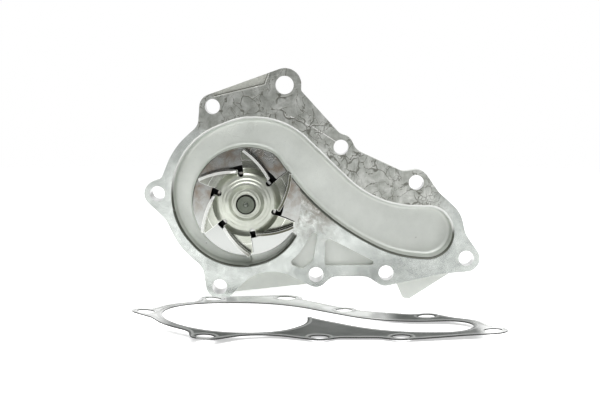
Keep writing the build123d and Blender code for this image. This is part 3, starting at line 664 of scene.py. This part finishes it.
def coated_steel(name, bead_highlight):
    """Thin dark rubber coat on rolled steel sheet, with painted shade on its cut edges.

    The bright steel tone at the ends and along the far strip, and the dark coat tone elsewhere, are painted
    reflection.
    A share given as the second argument lightens the tone all over as a painted highlight for the beads.
    """
    kit = Shader(name)
    where = kit.where()
    x, y, _ = kit.split(where)
    _, _, facing_z = kit.split(kit.facing())
    clouds = kit.noise(where, 0.06, 4.0, 0.6)
    rolled = kit.noise(kit.stretched(0.15, 2.5, 1.0), 1.0, 3.0, 0.6)
    edge = kit.remap(kit.size_of(facing_z), 0.75, 0.45)
    coat = kit.ramp(clouds, [(0.35, (0.055, 0.06, 0.057)), (0.65, (0.10, 0.105, 0.10))])
    steel = kit.ramp(clouds, [(0.35, (0.8, 0.815, 0.8)), (0.65, (0.9, 0.91, 0.9))])
    # Painted reflection: bright steel at the ends and along the far strip, dark coat elsewhere
    beyond = kit.times(kit.most(kit.maths("SUBTRACT", x, 33.0), 0.0), 0.6)
    far_strip = kit.times(kit.remap(kit.maths("ADD", y, beyond), -54.0, -46.0), kit.remap(x, 88.0, 70.0))
    backdrop_reflection = kit.most(far_strip, kit.remap(x, -36.0, -48.0), kit.remap(x, 124.0, 131.0))
    tone = kit.mix(backdrop_reflection, coat, steel)
    tone = kit.mix(kit.remap(kit.noise(where, 2.2, 2.0), 0.6, 0.75, 0.0, 0.2), tone, (0.3, 0.31, 0.3))
    # Painted highlight: the beads are lightened all over by the given share
    tone = kit.mix(bead_highlight, tone, (0.5, 0.51, 0.5))
    # Painted shade on the cut edges
    tone = kit.mix(edge, tone, (0.03, 0.03, 0.03))
    rough = kit.blend(backdrop_reflection, 0.34, kit.ramp(rolled, [(0.3, 0.1), (0.7, 0.18)]))
    metal = kit.times(kit.maths("SUBTRACT", 1.0, edge), kit.blend(backdrop_reflection, 0.1, 0.55))
    kit.set(base=tone, rough=kit.blend(edge, rough, 0.6), metal=metal, specular=0.2,
            normal=kit.bump(rolled, 0.3, 0.02))
    return kit.material


def plain_finish(name, dark, light, rough, metal, scale, depth, spread=0.1):
    """Finish of a small part: clouded colour, varied roughness and a fine relief."""
    kit = Shader(name)
    where = kit.where()
    clouds = kit.noise(where, scale * 0.15, 4.0, 0.6)
    fine = kit.noise(where, scale, 4.0, 0.65)
    tone = kit.ramp(kit.blend(0.35, clouds, fine), [(0.35, dark), (0.65, light)])
    kit.set(base=tone, rough=kit.ramp(fine, [(0.3, rough - spread), (0.7, rough + spread)]), metal=metal,
            normal=kit.bump(fine, 0.5, depth))
    return kit.material


def felt():
    """Pressed fibre filter."""
    kit = Shader("filter_felt")
    where = kit.where()
    bent = kit.vector("ADD", where, kit.drift(where, 0.8, 1.5))
    fibres = kit.noise(bent, 2.5, 5.0, 0.75, 1.5)
    tone = kit.ramp(fibres, [(0.3, (0.28, 0.26, 0.22)), (0.7, (0.62, 0.58, 0.5))])
    kit.set(base=tone, rough=0.95, metal=0.0, normal=kit.bump(fibres, 1.0, 0.3))
    return kit.material


MATERIALS = {
    "cast_aluminium": cast_aluminium(),
    "filter_felt": felt(),
    "bearing_steel": turned_metal(
        "bearing_steel", (0.62, 0.62, 0.63), (0.74, 0.74, 0.75), 0.12, 6.0, 6.0, 0.01),
    "seal_rubber": plain_finish(
        "seal_rubber", (0.018, 0.018, 0.018), (0.05, 0.05, 0.05), 0.6, 0.0, 2.0, 0.05),
    "cage_polymer": plain_finish("cage_polymer", (0.6, 0.55, 0.4), (0.74, 0.7, 0.56), 0.45, 0.0, 1.2, 0.04),
    "shaft_steel": turned_metal(
        "shaft_steel", (0.10, 0.115, 0.09), (0.17, 0.185, 0.155), 0.3, 7.0, 5.0, end_marks=True),
    "plated_steel": plated_steel(),
    "ceramic": plain_finish("ceramic", (0.8, 0.78, 0.73), (0.88, 0.87, 0.83), 0.2, 0.0, 0.8, 0.01, 0.06),
    "seal_brass": turned_metal(
        "seal_brass", (0.56, 0.41, 0.17), (0.76, 0.6, 0.3), 0.25, 3.0, 3.0, shade_beyond=SEAL_RIM_R),
    "carbon": plain_finish("carbon", (0.03, 0.03, 0.032), (0.07, 0.07, 0.075), 0.32, 0.0, 1.5, 0.02),
    "spring_steel": plain_finish(
        "spring_steel", (0.45, 0.45, 0.46), (0.66, 0.66, 0.67), 0.25, 1.0, 1.2, 0.02),
    "hub_steel": turned_metal(
        "hub_steel", (0.10, 0.10, 0.105), (0.2, 0.2, 0.205), 0.4, 3.0, 3.0, 0.03),
    "stud_steel": plain_finish("stud_steel", (0.48, 0.42, 0.2), (0.7, 0.66, 0.42), 0.3, 1.0, 1.0, 0.02),
    "gasket_steel": coated_steel("gasket_steel", 0.0),
}
# The beads get a painted highlight over their whole face
BEAD_FINISH = coated_steel("gasket_bead", 0.45)
for subpart in frame["record"]["subparts"]:
    mesh = NODES[subpart["node"]].data
    mesh.materials.clear()
    mesh.materials.append(MATERIALS[subpart["material_slot"]])


# ---- pieces with finer shape than the solids ----------------------------------------------
def add_piece(name, vertices, faces, body, slot, finish=None):
    """Mesh object from points in metres, smooth except at its sharp edges.

    It has the material of its slot, or a finish of its own.
    """
    mesh = bpy.data.meshes.new(name)
    mesh.from_pydata(vertices, [], faces)
    shape = bmesh.new()
    shape.from_mesh(mesh)
    bmesh.ops.remove_doubles(shape, verts=shape.verts, dist=0.0005 * MM)
    bmesh.ops.recalc_face_normals(shape, faces=shape.faces)
    for face in shape.faces:
        face.smooth = True
    for edge in shape.edges:
        edge.smooth = edge.is_manifold and edge.calc_face_angle() < math.radians(SHARP_ANGLE)
    shape.to_mesh(mesh)
    shape.free()
    piece = bpy.data.objects.new(name, mesh)
    bpy.context.scene.collection.objects.link(piece)
    mesh.materials.append(finish or MATERIALS[slot])
    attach(piece, body)
    return piece


def lathe(rings, x, z):
    """Points and faces of closed rings of (y, [radius at each step round]) about the line x, z."""
    count = len(rings[0][1])
    points = []
    for y, radii in rings:
        for step, radius in enumerate(radii):
            angle = 2 * math.pi * step / count
            across, up = x + radius * math.cos(angle), z + radius * math.sin(angle)
            points.append((across * MM, y * MM, up * MM))
    faces = [tuple(range(count)), tuple(range(len(points) - count, len(points)))]
    for ring in range(len(rings) - 1):
        for step in range(count):
            a, b = ring * count + step, ring * count + (step + 1) % count
            faces.append((a, b, b + count, a + count))
    return points, faces


def plain_ring(y, radius):
    return y, [radius] * ROUND_STEPS


def stud_rings():
    """Pressed stud from head to tip: plain head, knurled grip, thread with a chamfered end."""
    rings = [plain_ring(y, radius) for y, radius in STUD_HEAD]
    knurl = [KNURL_R - KNURL_DEPTH * (step % 2) for step in range(ROUND_STEPS)]
    rings += [(STUD_HEAD[-1][0] + 0.1, knurl), (STUD_SEAT_Y - 0.05, knurl)]
    rings.append(plain_ring(STUD_SEAT_Y, THREAD_ROOT_R))
    start, end = STUD_SEAT_Y + 0.6, STUD_TIP_Y - 0.1
    steps = round((end - start) / THREAD_PITCH * THREAD_RINGS)
    for index in range(steps + 1):
        y = start + (end - start) * index / steps
        crest = min(THREAD_R, THREAD_ROOT_R + (y - start) * 2, THREAD_ROOT_R - 0.3 + (end - y))
        root = min(THREAD_ROOT_R, crest)
        radii = []
        for step in range(ROUND_STEPS):
            phase = (y / THREAD_PITCH + step / ROUND_STEPS) % 1.0
            flank = min(1.0, max(0.0, 1.15 - abs(2 * phase - 1) * 1.3))
            radii.append(root + (crest - root) * flank)
        rings.append((y, radii))
    rings.append(plain_ring(STUD_TIP_Y, THREAD_ROOT_R - 0.5))
    return rings


def make_studs():
    """The four hub studs, with their threads."""
    points, faces = [], []
    for index in range(STUD_COUNT):
        angle = math.radians(STUD_START + 360.0 * index / STUD_COUNT)
        x, z = STUD_CIRCLE_R * math.cos(angle), STUD_CIRCLE_R * math.sin(angle)
        its_points, its_faces = lathe(stud_rings(), x, z)
        faces += [tuple(corner + len(points) for corner in face) for face in its_faces]
        points += its_points
    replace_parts(add_piece("threaded_studs", points, faces, "rotor", "stud_steel"), "hub_studs")


def top_loops(shape):
    """Closed loops of points round the upward faces of a sheet."""
    upper = {face for face in shape.faces if face.normal.z > 0.9}
    links = {}
    for edge in shape.edges:
        if len(upper.intersection(edge.link_faces)) == 1:
            a, b = edge.verts
            links.setdefault(a, []).append(b)
            links.setdefault(b, []).append(a)
    loops = []
    while links:
        start = next(iter(links))
        loop, here = [start.co.copy()], links.pop(start)[0]
        while here is not start:
            loop.append(here.co.copy())
            here = next((other for other in links.pop(here) if other in links), start)
        loops.append(loop)
    return sorted(loops, key=lambda loop: -loop_length(loop))


def loop_length(loop):
    return sum((a - b).length for a, b in zip(loop, loop[1:] + loop[:1]))


def evenly(loop, spacing):
    """Points at an even spacing along a closed loop."""
    count = round(loop_length(loop) / spacing)
    step = loop_length(loop) / count
    points, travelled, due = [], 0.0, 0.0
    for a, b in zip(loop, loop[1:] + loop[:1]):
        span = (b - a).length
        while len(points) < count and due <= travelled + span:
            points.append(a.lerp(b, (due - travelled) / span))
            due += step
        travelled += span
    return points


def bead(loop, shift, surface, others=()):
    """Rounded ridge beside a loop, shifted away from its inside, that sinks away near other loops."""
    points = evenly(loop, BEAD_SPACING * MM)
    area = sum(a.x * b.y - b.x * a.y for a, b in zip(points, points[1:] + points[:1]))
    count = len(points)
    vertices, faces = [], []
    for index, point in enumerate(points):
        along = points[(index + 2) % count] - points[index - 2]
        side = Vector((along.y, -along.x, 0.0)).normalized() * math.copysign(1.0, area)
        centre = point + side * shift * MM
        room = min([(centre - other).length for group in others for other in group], default=1.0)
        rise = min(1.0, max(0.0, (room / MM - BEAD_ROOM) / BEAD_FADE))
        for across, up in BEAD_PROFILE:
            place = centre + side * across * BEAD_W * MM
            hit = surface.ray_cast(place + Vector((0.0, 0.0, 0.01)), Vector((0.0, 0.0, -1.0)))[0]
            level = hit.z if hit else place.z - 0.3 * MM
            vertices.append((place.x, place.y, level + (up * rise - 0.4 * (1 - rise)) * BEAD_H * MM))
    wide = len(BEAD_PROFILE)
    for index in range(count):
        here, there = index * wide, (index + 1) % count * wide
        for k in range(wide - 1):
            faces.append((here + k, there + k, there + k + 1, here + k + 1))
    return vertices, faces


def make_beads():
    """Pressed sealing beads of the gasket: round the opening, the bolt holes and the rim."""
    shape = bmesh.new()
    shape.from_mesh(NODES["mounting_gasket"].data)
    shape.transform(NODES["mounting_gasket"].matrix_world)
    bmesh.ops.remove_doubles(shape, verts=shape.verts, dist=0.01 * MM)
    shape.normal_update()
    surface = BVHTree.FromBMesh(shape)
    rim, opening, *holes = top_loops(shape)
    runs = [bead(opening, EDGE_BEAD_OFFSET, surface, holes)]
    runs += [bead(hole, HOLE_BEAD_OFFSET, surface) for hole in holes]
    inner = [evenly(loop, 1.5 * MM) for loop in [opening] + holes]
    runs.append(bead(rim, -EDGE_BEAD_OFFSET, surface, inner))
    shape.free()
    for index, (vertices, faces) in enumerate(runs):
        add_piece(f"gasket_bead_{index}", vertices, faces, "gasket", "gasket_steel", BEAD_FINISH)


make_studs()
make_beads()
make_camera()
make_floor()
make_world()
make_lights()
bpy.context.scene.view_settings.view_transform = "Standard"
